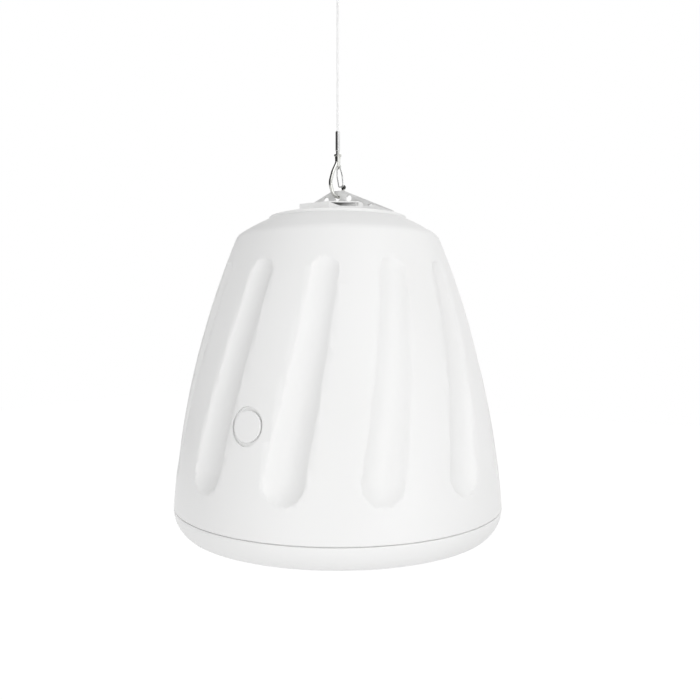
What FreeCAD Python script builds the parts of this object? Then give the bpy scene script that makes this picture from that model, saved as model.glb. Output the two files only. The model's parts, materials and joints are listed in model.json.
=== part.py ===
"""Pendant loudspeaker that hangs by a snap hook from a thin wire rope.

Millimetres. +Z is up and the front, with the round plug, faces -Y. The origin is the
centre of the eye at the top of the rope. Heights are measured down from there: the rope,
the hook, the hole in the bracket that the hook holds, and then the bell-shaped enclosure.
"""
import FreeCAD
import Part
import math
import os

V = FreeCAD.Vector

# Rope and hook
EYE_HOLE_R = 4.5
EYE_RIM_R = 9.5
EYE_THICKNESS = 5.0
EYE_SHANK_R = 3.2
EYE_SHANK_END = 33.0
ROPE_D = 3.0
ROPE_FREE = 165.0
SLEEVE_R = 2.75
SLEEVE_LENGTH = 24.0
HOOK_SHANK = 4.4
HOOK_ROD_R = 2.2
HOOK_HEIGHT = 51.3
HOOK_TURN = 70.3
COLLAR_R = 4.6
COLLAR_THICKNESS = 2.0
NOSE_R = 3.0
GATE_WIRE_R = 0.8
GATE_SPREAD_TOP = 2.6
GATE_SPREAD_MID = 4.8
GATE_SPREAD_END = 4.0
GATE_MID = 0.45
GATE_PIVOT = (1.4, 36.5)
GATE_NOSE_GAP = 0.1
GATE_HOLE_GAP = 0.06
CHEEK_R = 3.0
CHEEK_HALF = 1.4
NOSE_AT = (9.4, 12.6)
HOOK_SEAT_GAP = 0.25

# Bracket
BRACKET_THICKNESS = 3.0
BRACKET_HALF = 76.0
BRACKET_APEX_HALF = 8.0
BRACKET_APEX_RISE = 8.4
BRACKET_CORNER_R = 6.0
BRACKET_END_RISE = -2.15
BRACKET_END_HEIGHT = 6.4
TILT_HOLE_R = 4.0
TILT_HOLES = ((16.1, -2.2), (45.7, -15.5))
FOOT_DEPTH = 34.0
FOOT_HALF = 60.0
FOOT_BEND_R = 2.0
FOOT_SCREW_X = 46.0
FOOT_SCREW_Y = 20.0
BRACKET_SCREW_R = 2.5
NUT_R = 4.6
NUT_HEIGHT = 4.0
BRACKET_HEAD_HEIGHT = 3.2
SCREW_GAP = 0.25

# Enclosure
CROWN_DROP = 19.5
CAP_R = 84.4
CAP_FLAT_R = 35.0
CAP_FALL = 6.4
CAP_WALL = 2.5
CAP_GAP = 0.6
CAP_PROUD = 3.05
CAP_SKIRT = 12.0
CAP_SCREWS = ((-48.0, 44.0), (48.0, 44.0))
CAP_BOSS_R = 4.0
CAP_PAD = 3.2
CAP_PAD_RIM = 1.5
CAP_SINK_R = 4.2
CAP_SINK = 1.6
CAP_SCREW_LENGTH = 12.0
CAP_SCREW_HEAD = (3.4, 1.5)
SLOT_GAP = 0.3
COLLAR_WALL = 2.0
COLLAR_RISE = 5.9
COLLAR_FLAT = 52.5
COLLAR_FALL = 9.95
LIP_ROUND = 1.2
FLOOR_DROP = 22.5
FLOOR_WALL = 5.0
SHOULDER_R = 123.3
SHOULDER_DROP = 30.9
SHOULDER_BULGE = 1.0
SHOULDER_ROUND_SHARE = 0.36
WAIST_SWELL = 13.55
RIM_R = 200.0
SEAM_DROP = 353.9
WALL = 4.0
FLANGE_WIDTH = 40.0
FLANGE_WALL = 6.0

# Flutes: they narrow upwards and lean, so each top is turned ahead of its foot
FLUTES = 12
FLUTE_TOP_ANGLE = 24.6
FLUTE_FOOT_ANGLE = 13.7
FLUTE_TOP_DROP = 79.7
FLUTE_FOOT_DROP = 293.7
FLUTE_TOP_WIDTH = 31.0
FLUTE_FOOT_WIDTH = 47.0
FLUTE_TOP_DEPTH = 6.0
FLUTE_FOOT_DEPTH = 10.8
FLUTE_STATIONS = 4

# Round plug
PLUG_DROP = 241.5
PLUG_R = 16.6
PLUG_HEIGHT = 3.6
PLUG_SPIGOT_R = 5.0
RECESS_HALF_WIDTH = 19.0
RECESS_HALF_HEIGHT = 20.9
RECESS_DEPTH = 4.0
BOSS_R = 25.0
BOSS_WALL = 4.0

# Terminal housing on the cap
HOUSING_TOP = 11.7
HOUSING_PLAN = ((-40.5, -25.5), (2.4, -25.5), (38.0, -3.2), (-40.5, -3.2))
HOUSING_SKIRT = 12.0
HOUSING_WALL = 2.2
HOUSING_ROOF = 1.5
HOUSING_END_R = 6.5
HOUSING_ROUND = 2.0
NOTCH_FROM = 2.0
NOTCH_SILL_FROM = 14.0
NOTCH_TO = 35.7
NOTCH_SILL = 6.0

# Input connector under the terminal housing
HEADER = (26.0, 13.0)
HEADER_AT = (-19.0, -14.0)
HEADER_HEIGHT = 12.0
HEADER_WALL = 1.5
PLUG_IN_HEIGHT = 11.0
POLES = 4
GROMMET_Y = -50.0
GROMMET_R = 4.5
GROMMET_FLANGE = 1.6

# Bottom ring, grille and baffle
SEAM_GAP = 0.8
BEZEL_HEIGHT = 27.6
BEZEL_ARC_R = 34.7
BEZEL_TURN_IN = 12.0
BEZEL_WALL = 4.0
BEZEL_LIP = 32.0
BEZEL_SHELF = 12.0
BEZEL_SCREWS = 6
BEZEL_SCREW_INSET = 21.0
PILLAR_R = 5.0
GRILLE_SEAT = 5.0
GRILLE_THICKNESS = 1.2
GRILLE_HOLE_R = 4.2
GRILLE_PITCH = 21.0
GASKET = 1.5
BAFFLE_INSET = 29.0
BAFFLE_THICKNESS = 8.0
BAFFLE_SCREWS = 6
BAFFLE_SCREW_INSET = 34.0
EDGE_ROUND = 1.0
PORTS = 3
PORT_SHARE = 0.391
PORT_WALL = 2.5
PORT_FLARE = 3.0
PORT_LENGTH = 70.0
TAPPING_R = 1.7
HEAD_R = 3.3
HEAD_HEIGHT = 2.2

# Loudspeaker drive unit, centred on the axis and facing down
UNIT_RIM = 12.0
RING_SHARE = 0.5636
UNIT_SHARE = 0.465
UNIT_FLANGE = 3.0
UNIT_SCREWS = 6
UNIT_SCREW_OUT = 6.5
UNIT_SCREW_LENGTH = 12.0
BASKET_DEPTH = 74.0
BASKET_STEP = 16.0
BASKET_WALL = 2.5
BASKET_TOP_R = 46.0
BASKET_WINDOWS = 4
BASKET_WINDOW_HALF = 24.0
BASKET_WINDOW_FROM = 20.0
BASKET_WINDOW_RISE = 22.0
SURROUND_ROLL = 5.0
CONE_INSET = 11.0
CONE_CURVE = 0.58
SURROUND_WALL = 0.8
SURROUND_LAND = 3.0
CONE_WALL = 1.2
CONE_DEPTH = 42.0
COIL_R = 25.0
COIL_WALL = 0.6
WINDING_LENGTH = 12.0
COIL_WINDING = 0.8
COIL_GAP = 0.5
SPIDER_R = 44.0
SPIDER_WAVE = 1.6
SPIDER_FOLDS = 7
SPIDER_WALL = 0.8
SPIDER_DROP = 9.0
PLATE_R = 52.0
PLATE_THICKNESS = 8.0
MAGNET_R = 60.0
MAGNET_BORE_R = 30.0
MAGNET_THICKNESS = 18.0
BACK_PLATE = 8.0
THROAT_R = 9.0
HORN_R = 21.0
HORN_LENGTH = 26.0
HORN_WALL = 1.8
TWEETER_R = 38.0
TWEETER_HEIGHT = 30.0

# Network, transformer and tap switch
BOARD = (96.0, 44.0, 1.6)
BOARD_INSET = 2.0
CAPACITORS = ((-24.0, 6.5), (-8.0, 5.0))
CAPACITOR_LENGTH = 26.0
INDUCTORS = ((12.0, 10.0), (34.0, 8.0))
INDUCTOR_BORE_R = 4.0
INDUCTOR_HEIGHT = 12.0
RESISTOR = (7.0, 13.0, 7.0)
RESISTOR_X = -41.5
RESISTOR_STARTS = (-16.0, 0.0)
SPACER_HEIGHT = 8.0
SPACER_R = 3.0
TRANSFORMER = (76.0, 40.0, 63.0)
WINDING_BULGE = 11.0
CORE_LIMB = 12.5
STRAP_WALL = 1.6
STRAP_EAR = 14.0
STRAP_TIP_WALL = 1.5
BACKING = (132.0, 76.0, 3.0)
SWITCH_ANGLE = 330.0
SWITCH_R = 13.0
SWITCH_BODY = 18.0
SWITCH_SHAFT_R = 3.0
SHAFT_CLEARANCE = 0.05
SHAFT_SEAT = 8.0
KNOB_R = 9.0
KNOB_HEIGHT = 6.0
KNOB_CLEARANCE = 0.3
LEAD_R = 2.0
LEAD_RISE = 8.0
LEAD_PAD = 16.0
LEAD_LOOP = 18.0
LEAD_BEND = 12.0
FEED_X = 42.0
FEED_FROM = 16.0
FEED_DROP = (-70.0, 60.0)
FEED_BENDS = (22.0, 30.0)
UNIT_LEAD_X = 4.0
SWITCH_LEAD_X = -38.0
SWITCH_LEAD_SIDE = 2.0
TERMINAL_RISE = 46.0
TERMINALS = (20.0, 20.0, 10.0)
TERMINAL_FRONT = 78.0

# Radii and heights worked out from the sizes above
waist_r = (SHOULDER_R + RIM_R) / 2 + WAIST_SWELL
shoulder_round = SHOULDER_ROUND_SHARE * (SHOULDER_R - CAP_R)
flange_r = RIM_R - FLANGE_WIDTH
bezel_edge_r = RIM_R - BEZEL_TURN_IN
bezel_top_r = RIM_R - BEZEL_SHELF
bezel_lip_r = RIM_R - BEZEL_LIP
bezel_screw_circle = RIM_R - BEZEL_SCREW_INSET
grille_r = bezel_lip_r + GRILLE_SEAT
baffle_r = RIM_R - BAFFLE_INSET
baffle_screw_circle = RIM_R - BAFFLE_SCREW_INSET
unit_opening_r = UNIT_SHARE * RIM_R
unit_r = unit_opening_r + UNIT_RIM
unit_screw_circle = unit_opening_r + UNIT_SCREW_OUT
cone_r = unit_opening_r - CONE_INSET
ring_circle = unit_r + RING_SHARE * (flange_r - unit_r)
port_r = PORT_SHARE * (flange_r - unit_r) - PORT_WALL
board_y = BOARD_INSET - ring_circle
rope_top = -EYE_SHANK_END
rope_end = rope_top - ROPE_FREE
sleeve_end = rope_end - SLEEVE_LENGTH
hook_top = sleeve_end - HOOK_SHANK
rod_z = hook_top - HOOK_HEIGHT
hole_z = rod_z + HOOK_ROD_R + HOOK_SEAT_GAP - TILT_HOLE_R
crown_z = hole_z - CROWN_DROP
floor_z = crown_z - FLOOR_DROP
shoulder_z = crown_z - SHOULDER_DROP
seam_z = crown_z - SEAM_DROP
bezel_top = seam_z - SEAM_GAP
bottom_z = seam_z - BEZEL_HEIGHT
baffle_top = seam_z - GASKET
baffle_z = baffle_top - BAFFLE_THICKNESS
grille_top = bottom_z + BEZEL_WALL + GRILLE_THICKNESS
cap_rim_z = crown_z - CAP_FALL
lip_z = cap_rim_z - CAP_PROUD
waist_z = (shoulder_z + seam_z) / 2
unit_z = baffle_z - GASKET
plate_z = unit_z + BASKET_DEPTH
magnet_z = plate_z + PLATE_THICKNESS
back_z = magnet_z + MAGNET_THICKNESS
tweeter_z = back_z + BACK_PLATE
board_z = baffle_top + SPACER_HEIGHT

parts = {}


def box(x0, x1, y0, y1, z0, z1):
    return Part.makeBox(x1 - x0, y1 - y0, z1 - z0, V(x0, y0, z0))


def cylinder(r, z0, z1, x=0.0, y=0.0):
    return Part.makeCylinder(r, z1 - z0, V(x, y, z0))


def ring(r_out, r_in, z0, z1, x=0.0, y=0.0):
    return cylinder(r_out, z0, z1, x, y).cut(cylinder(r_in, z0 - 1, z1 + 1, x, y))


def hexagon(r, z0, z1, x, y):
    corners = [V(x + r * math.cos(i * math.pi / 3), y + r * math.sin(i * math.pi / 3), z0) for i in range(7)]
    return Part.Face(Part.makePolygon(corners)).extrude(V(0, 0, z1 - z0))


def outline(start, *steps):
    """A closed face in the XZ plane. A step is (x, z), or (x, z, x, z) for an arc by way of a point."""
    edges = []
    here = V(start[0], 0, start[1])
    for step in steps + (tuple(start),):
        there = V(step[-2], 0, step[-1])
        if len(step) == 4:
            edges.append(Part.Arc(here, V(step[0], 0, step[1]), there).toShape())
        elif here.distanceToPoint(there) > 1e-6:
            edges.append(Part.LineSegment(here, there).toShape())
        here = there
    return Part.Face(Part.Wire(edges))


def turned(face, angle=360.0):
    return face.revolve(V(0, 0, 0), V(0, 0, 1), angle)


def spin(shape, angle, centre=V(0, 0, 0), axis=V(0, 0, 1)):
    copy = shape.copy()
    copy.rotate(centre, axis, angle)
    return copy


def shift(shape, x=0.0, y=0.0, z=0.0):
    copy = shape.copy()
    copy.translate(V(x, y, z))
    return copy


def around(shape, count, start=0.0):
    return [spin(shape, start + i * 360.0 / count) for i in range(count)]


def fuse(shapes):
    first, *others = shapes
    return first.multiFuse(others).removeSplitter() if others else first


def circle_through(a, b, c):
    """Centre and radius of the circle through three points of the XZ plane."""
    circle = Part.Arc(V(a[0], 0, a[1]), V(b[0], 0, b[1]), V(c[0], 0, c[1])).toShape().Curve
    return circle.Center.x, circle.Center.z, circle.Radius


def rounded_path(points, bends):
    """A wire of straight runs joined by tangent arcs, one bend radius for each inner point."""
    points = [V(*p) for p in points]
    edges = []
    here = points[0]
    for before, corner, after, radius in zip(points, points[1:], points[2:], bends):
        back = (before - corner).normalize()
        ahead = (after - corner).normalize()
        half = back.getAngle(ahead) / 2
        reach = radius / math.tan(half)
        first = corner + back * reach
        last = corner + ahead * reach
        middle = (back + ahead).normalize()
        top = corner + middle * (radius / math.sin(half) - radius)
        if here.distanceToPoint(first) > 1e-4:
            edges.append(Part.LineSegment(here, first).toShape())
        edges.append(Part.Arc(first, top, last).toShape())
        here = last
    edges.append(Part.LineSegment(here, points[-1]).toShape())
    return Part.Wire(edges)


def rod(points, bends, radius):
    """A round bar along a rounded path."""
    path = rounded_path(points, bends)
    start = V(*points[0])
    heading = V(*points[1]) - start
    face = Part.Wire(Part.makeCircle(radius, start, heading))
    return path.makePipeShell([face], True, True)


def screw(r, length, head_r, head_height, x, y, z, up=True):
    """A pan-head screw with its shank pointing up or down from the seat of the head at z."""
    if up:
        shank = cylinder(r, z, z + length, x, y)
        head = cylinder(head_r, z - head_height, z, x, y)
    else:
        shank = cylinder(r, z - length, z, x, y)
        head = cylinder(head_r, z, z + head_height, x, y)
    return fuse([shank, head])


def polar(radius, angle):
    """A point at an angle from the front, counted towards +X."""
    a = math.radians(angle)
    return radius * math.sin(a), -radius * math.cos(a)


# Curves of the enclosure

SIDE = circle_through((SHOULDER_R, shoulder_z), (waist_r, waist_z), (RIM_R, seam_z))
slope_mid = ((CAP_R + SHOULDER_R) / 2 + SHOULDER_BULGE / 2, (lip_z + shoulder_z) / 2 + SHOULDER_BULGE)
SLOPE = circle_through((CAP_R + CAP_GAP, lip_z), slope_mid, (SHOULDER_R, shoulder_z))


def side_r(z, inset=0.0):
    """Radius of the side wall at a height, set in by a wall thickness."""
    x, cz, r = SIDE
    return x + math.sqrt((r - inset) ** 2 - (z - cz) ** 2)


def slope_z(radius, inset=0.0):
    """Height of the sloping shoulder at a radius, set in by a wall thickness."""
    x, cz, r = SLOPE
    return cz + math.sqrt((r - inset) ** 2 - (radius - x) ** 2)


def cap_face(inset=0.0, floor=None):
    """Half section under the cap's outer surface, set in by a wall thickness."""
    rim_r = CAP_R - inset
    top = crown_z - inset
    rim_z = cap_rim_z - inset
    run = rim_r - CAP_FLAT_R
    fall = top - rim_z
    arc_r = (run ** 2 + fall ** 2) / (2 * fall)
    mid_r = CAP_FLAT_R + run * 0.55
    mid_z = top - arc_r + math.sqrt(arc_r ** 2 - (mid_r - CAP_FLAT_R) ** 2)
    return outline((0, floor), (rim_r, floor), (rim_r, rim_z), (mid_r, mid_z, CAP_FLAT_R, top), (0, top))


# Hook plane: u runs from the spine to the nose, and z is the height above the rod in the hole

hook_dir = V(math.cos(math.radians(HOOK_TURN)), math.sin(math.radians(HOOK_TURN)), 0)
hook_side = V(-hook_dir.y, hook_dir.x, 0)


def on_hook(u, rise, aside=0.0):
    p = hook_dir * u + hook_side * aside
    return p.x, p.y, rod_z + rise


def make_eye():
    """Forged eye whose shank is pressed on the rope's upper end."""
    ring_face = outline((EYE_HOLE_R, -EYE_THICKNESS / 2), (EYE_RIM_R - 1.2, -EYE_THICKNESS / 2),
                        (EYE_RIM_R, 0, EYE_RIM_R - 1.2, EYE_THICKNESS / 2), (EYE_HOLE_R, EYE_THICKNESS / 2))
    rim = spin(turned(ring_face), 90, axis=V(1, 0, 0))
    shank = cylinder(EYE_SHANK_R, -EYE_SHANK_END, -EYE_HOLE_R - 1.5)
    neck = Part.makeCone(EYE_SHANK_R, EYE_SHANK_R + 1.6, 6, V(0, 0, -EYE_RIM_R - 5))
    slab = box(-EYE_RIM_R, EYE_RIM_R, -EYE_THICKNESS / 2, EYE_THICKNESS / 2, -EYE_RIM_R - 5.5, 0)
    hole = spin(cylinder(EYE_HOLE_R, -EYE_THICKNESS, EYE_THICKNESS), 90, axis=V(1, 0, 0))
    parts["ceiling_eye"] = fuse([rim, shank, neck.common(slab)]).cut(hole)


def make_rope():
    """Taut rope in one straight run from the eye's shank to the pressed sleeve."""
    parts["suspension_rope"] = cylinder(ROPE_D / 2, rope_end, rope_top)
    body = cylinder(SLEEVE_R, sleeve_end, rope_end)
    rims = [e for e in body.Edges if abs(e.Length - 2 * math.pi * SLEEVE_R) < 0.01]
    parts["swage_sleeve"] = body.makeFillet(0.5, rims)


def make_hook():
    """Round bar bent into a hook, with a collar, a shank under the sleeve and a ball nose."""
    route = [(0, HOOK_HEIGHT), (-0.6, 43), (-7.6, 30), (-12.4, 15.5), (-7.6, 2.2), (1.2, -1.2),
             (9.0, 1.8), NOSE_AT]
    bends = [20, 16, 15, 8.5, 9.5, 6.5]
    bar = rod([on_hook(u, rise) for u, rise in route], bends, HOOK_ROD_R)
    nose = Part.makeSphere(NOSE_R, V(*on_hook(*route[-1])))
    shank = cylinder(HOOK_ROD_R, hook_top - 1, sleeve_end)
    collar = cylinder(COLLAR_R, hook_top - COLLAR_THICKNESS, hook_top)
    u, rise = GATE_PIVOT
    cheek = Part.makeCylinder(CHEEK_R, 2 * CHEEK_HALF, V(*on_hook(u, rise, -CHEEK_HALF)), hook_side)
    neck = Part.makeCone(2.9, 3.6, HOOK_HEIGHT - rise, V(*on_hook(0, rise)))
    pivot_hole = Part.makeCylinder(GATE_WIRE_R + GATE_HOLE_GAP, 20, V(*on_hook(u, rise, -10)), hook_side)
    parts["snap_hook"] = fuse([bar, nose, shank, collar, cheek, neck]).cut(pivot_hole)


def make_gate():
    """Wire bent to a hairpin. Its two ends turn into the hook's pivot hole from both sides."""
    u0, h0 = GATE_PIVOT
    u1, h1 = NOSE_AT
    u1 -= NOSE_R + GATE_WIRE_R + GATE_NOSE_GAP
    inner = 0.15
    middle = (between(u0, u1, GATE_MID), between(h0, h1, GATE_MID), GATE_SPREAD_MID)
    half = [(u0, h0, inner), (u0, h0, GATE_SPREAD_TOP + 0.1), middle, (u1, h1, GATE_SPREAD_END)]
    other = [(u, h, -s) for u, h, s in reversed(half)]
    route = [on_hook(*p) for p in half + other]
    parts["hook_gate"] = rod(route, [1.3, 20.0, 2.0, 2.0, 20.0, 1.3], GATE_WIRE_R)


def bracket_hole(x, z, radius=TILT_HOLE_R):
    return Part.makeCylinder(radius, 4 * BRACKET_THICKNESS, V(x, -2 * BRACKET_THICKNESS, z), V(0, 1, 0))


def make_bracket():
    """Triangular plate folded back into a foot, with a row of tilt holes along its top edge."""
    t = BRACKET_THICKNESS
    apex_z = hole_z + BRACKET_APEX_RISE
    low_z = cap_rim_z + BRACKET_END_RISE
    r_in, r_out = FOOT_BEND_R, FOOT_BEND_R + t
    cy, cz = -t / 2 + r_out, floor_z + r_out
    k = math.sqrt(0.5)
    section = [
        Part.LineSegment(V(0, -t / 2, apex_z), V(0, -t / 2, cz)).toShape(),
        Part.Arc(V(0, -t / 2, cz), V(0, cy - r_out * k, cz - r_out * k), V(0, cy, floor_z)).toShape(),
        Part.LineSegment(V(0, cy, floor_z), V(0, FOOT_DEPTH, floor_z)).toShape(),
        Part.LineSegment(V(0, FOOT_DEPTH, floor_z), V(0, FOOT_DEPTH, floor_z + t)).toShape(),
        Part.LineSegment(V(0, FOOT_DEPTH, floor_z + t), V(0, cy, floor_z + t)).toShape(),
        Part.Arc(V(0, cy, floor_z + t), V(0, cy - r_in * k, cz - r_in * k), V(0, t / 2, cz)).toShape(),
        Part.LineSegment(V(0, t / 2, cz), V(0, t / 2, apex_z)).toShape(),
        Part.LineSegment(V(0, t / 2, apex_z), V(0, -t / 2, apex_z)).toShape(),
    ]
    folded = Part.Face(Part.Wire(section)).extrude(V(2 * BRACKET_HALF, 0, 0))
    folded.translate(V(-BRACKET_HALF, 0, 0))
    edge_z = low_z + BRACKET_END_HEIGHT
    shape = [(-FOOT_HALF, floor_z - 1), (-FOOT_HALF, floor_z + 11), (-BRACKET_HALF, low_z),
             (-BRACKET_HALF, edge_z), (-BRACKET_APEX_HALF, apex_z), (BRACKET_APEX_HALF, apex_z),
             (BRACKET_HALF, edge_z), (BRACKET_HALF, low_z), (FOOT_HALF, floor_z + 11),
             (FOOT_HALF, floor_z - 1)]
    face = outline(*shape)
    blank = face.extrude(V(0, 2 * FOOT_DEPTH + 10, 0))
    blank.translate(V(0, -5, 0))
    apexes = [e for e in blank.Edges if abs(e.Vertexes[0].Z - apex_z) < 1e-6
              and abs(e.Vertexes[-1].Z - apex_z) < 1e-6 and abs(e.Vertexes[0].X - e.Vertexes[-1].X) < 1e-6]
    plate = folded.common(blank.makeFillet(BRACKET_CORNER_R, apexes))
    holes = [bracket_hole(0, hole_z)]
    for x, drop in TILT_HOLES:
        holes += [bracket_hole(x, hole_z + drop), bracket_hole(-x, hole_z + drop)]
    for x in (-FOOT_SCREW_X, FOOT_SCREW_X):
        holes.append(cylinder(BRACKET_SCREW_R + SCREW_GAP, floor_z - 1, floor_z + 5, x, FOOT_SCREW_Y))
    parts["hanging_bracket"] = plate.cut(Part.makeCompound(holes))


def make_bracket_fixings():
    """Backing plate inside the crown, and the screws and nuts that clamp the bracket through it."""
    under = floor_z - FLOOR_WALL
    x, y, t = BACKING
    hole = BRACKET_SCREW_R + SCREW_GAP
    plate = box(-x / 2, x / 2, -y / 2, y / 2, under - t, under)
    corners = [e for e in plate.Edges if abs(e.Vertexes[0].Z - e.Vertexes[-1].Z) > t / 2]
    plate = plate.makeFillet(8, corners)
    spots = [(-FOOT_SCREW_X, FOOT_SCREW_Y), (FOOT_SCREW_X, FOOT_SCREW_Y)]
    strap_spots = [(-strap_screw_x(), 0), (strap_screw_x(), 0)]
    for px, py in spots + strap_spots:
        plate = plate.cut(cylinder(hole, under - t - 1, under + 1, px, py))
    parts["backing_plate"] = plate
    head_z = floor_z + BRACKET_THICKNESS
    reach = head_z - (under - t) + 6
    parts["bracket_screws"] = Part.makeCompound(
        [screw(BRACKET_SCREW_R, reach, NUT_R, BRACKET_HEAD_HEIGHT, px, py, head_z, up=False)
         for px, py in spots])
    nuts = []
    for px, py in spots:
        nut = hexagon(NUT_R, under - t - NUT_HEIGHT, under - t, px, py)
        nuts.append(nut.cut(cylinder(BRACKET_SCREW_R, under - t - NUT_HEIGHT - 1, under, px, py)))
    parts["bracket_nuts"] = Part.makeCompound(nuts)


def strap_screw_x():
    return TRANSFORMER[0] / 2 + STRAP_WALL + STRAP_EAR / 2


def housing_block(inset, roof, low):
    """The housing's prism, drawn in by a wall thickness, with a roof that rounds down at its pointed end."""
    top = crown_z + HOUSING_TOP - roof
    plan = Part.makePolygon([V(x, y, low) for x, y in HOUSING_PLAN + HOUSING_PLAN[:1]])
    if inset:
        plan = plan.makeOffset2D(-inset)
    block = Part.Face(plan).extrude(V(0, 0, top - low))
    x0 = HOUSING_PLAN[0][0]
    x1 = HOUSING_PLAN[2][0] - inset
    r = HOUSING_END_R - inset
    k = r * (1 - math.sqrt(0.5))
    side = outline((x0, low), (x1, low), (x1, top - r), (x1 - k, top - k, x1 - r, top), (x0, top))
    depth = -HOUSING_PLAN[0][1] + 1
    prism = side.extrude(V(0, depth, 0))
    return block.common(shift(prism, y=-depth))


def make_cap():
    """Domed cap over the bracket's foot, with a slot for the plate and a hollow housing in front."""
    solid_cap = turned(cap_face(0.0, floor_z))
    shell = solid_cap.cut(turned(cap_face(CAP_WALL, floor_z - 1)))
    shell = shell.cut(cylinder(CAP_R + 5, floor_z - 1, cap_rim_z - CAP_SKIRT))
    skirt_z = crown_z - HOUSING_SKIRT
    block = housing_block(0.0, 0.0, skirt_z)
    uprights = [e for e in block.Edges
                if abs(e.Vertexes[0].Z - e.Vertexes[-1].Z) > 5 and e.Vertexes[0].Y < -20]
    block = block.makeFillet(HOUSING_ROUND, uprights)
    core = housing_block(HOUSING_WALL, HOUSING_ROOF, skirt_z - 1)
    slot_half = BRACKET_HALF + SLOT_GAP
    slot_y = BRACKET_THICKNESS / 2 + SLOT_GAP
    end = slot_half + COLLAR_WALL
    collar_side = outline((-end, skirt_z), (end, skirt_z), (end, crown_z + COLLAR_RISE - COLLAR_FALL),
                          (COLLAR_FLAT, crown_z + COLLAR_RISE), (-COLLAR_FLAT, crown_z + COLLAR_RISE),
                          (-end, crown_z + COLLAR_RISE - COLLAR_FALL))
    collar_y = slot_y + COLLAR_WALL
    collar = shift(collar_side.extrude(V(0, 2 * collar_y, 0)), y=-collar_y)
    inside = turned(cap_face(CAP_WALL, floor_z - 1))
    body = fuse([shell, block, collar.cut(inside)]).cut(core)
    slot = box(-slot_half, slot_half, -slot_y, slot_y, floor_z, crown_z + COLLAR_RISE + 1)
    (x0, y0), (x1, y1) = HOUSING_PLAN[1], HOUSING_PLAN[2]
    tilt = math.degrees(math.atan2(y1 - y0, x1 - x0))
    sill = crown_z + NOTCH_SILL
    head = crown_z + HOUSING_TOP - HOUSING_ROOF
    gap = outline((NOTCH_FROM, head), (NOTCH_SILL_FROM, sill), (NOTCH_TO, sill), (NOTCH_TO, head))
    notch = shift(gap.extrude(V(0, HOUSING_WALL + 2, 0)), y=-1)
    body = body.cut(slot).cut(shift(spin(notch, tilt), x0, y0))
    for x, y in CAP_SCREWS:
        seat_z = cap_screw_seat(x, y)
        pad = cylinder(CAP_BOSS_R + CAP_PAD_RIM, seat_z - CAP_PAD, crown_z, x, y)
        body = body.fuse(pad.common(solid_cap))
        body = body.cut(cylinder(TAPPING_R + SCREW_GAP, floor_z, crown_z, x, y))
        body = body.cut(cylinder(CAP_SINK_R, seat_z, crown_z, x, y))
    parts["top_cap"] = body


def cap_screw_seat(x, y):
    """The screw head sits a little below the domed surface."""
    radius = math.hypot(x, y)
    run = CAP_R - CAP_FLAT_R
    arc_r = (run ** 2 + CAP_FALL ** 2) / (2 * CAP_FALL)
    return crown_z - arc_r + math.sqrt(arc_r ** 2 - (radius - CAP_FLAT_R) ** 2) - CAP_SINK


def between(start, end, share):
    return start + (end - start) * share


def flute_section(share):
    """Centre and radius of a flute's round section, from its top (0) to its foot (1)."""
    z = crown_z - between(FLUTE_TOP_DROP, FLUTE_FOOT_DROP, share)
    half = between(FLUTE_TOP_WIDTH, FLUTE_FOOT_WIDTH, share) / 2
    depth = between(FLUTE_TOP_DEPTH, FLUTE_FOOT_DEPTH, share)
    cx, cz, r = SIDE
    wall_r = side_r(z)
    chord_depth = depth - half ** 2 / (2 * wall_r)
    radius = (half ** 2 + chord_depth ** 2) / (2 * chord_depth)
    out = radius - depth
    x, y = polar(wall_r + out * (wall_r - cx) / r, between(FLUTE_TOP_ANGLE, FLUTE_FOOT_ANGLE, share))
    return V(x, y, z + out * (z - cz) / r), radius


def flute_tool(extra=0.0):
    """Cutter for one flute: a loft through its round sections, with a ball at each end."""
    sections = [flute_section(i / FLUTE_STATIONS) for i in range(FLUTE_STATIONS + 1)]
    centres = [c for c, radius in sections]
    aheads = centres[1:] + centres[-1:]
    behinds = centres[:1] + centres[:-1]
    rings = [Part.Wire(Part.makeCircle(radius + extra, centre, ahead - behind))
             for (centre, radius), ahead, behind in zip(sections, aheads, behinds)]
    body = Part.makeLoft(rings, True)
    balls = [Part.makeSphere(radius + extra, centre) for centre, radius in (sections[0], sections[-1])]
    return body.multiFuse(balls)


def plug_frame():
    """Centre of the plug's recess on the wall, and the outward direction there."""
    z = crown_z - PLUG_DROP
    cx, cz, r = SIDE
    radius = side_r(z)
    return V(0, -radius, z), V(0, -(radius - cx) / r, (z - cz) / r)


def plug_cylinder(radius, inner, outer):
    """A cylinder on the plug's axis between two depths, counted inwards from the wall."""
    spot, out = plug_frame()
    return Part.makeCylinder(radius, outer - inner, spot - out * outer, out)


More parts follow.
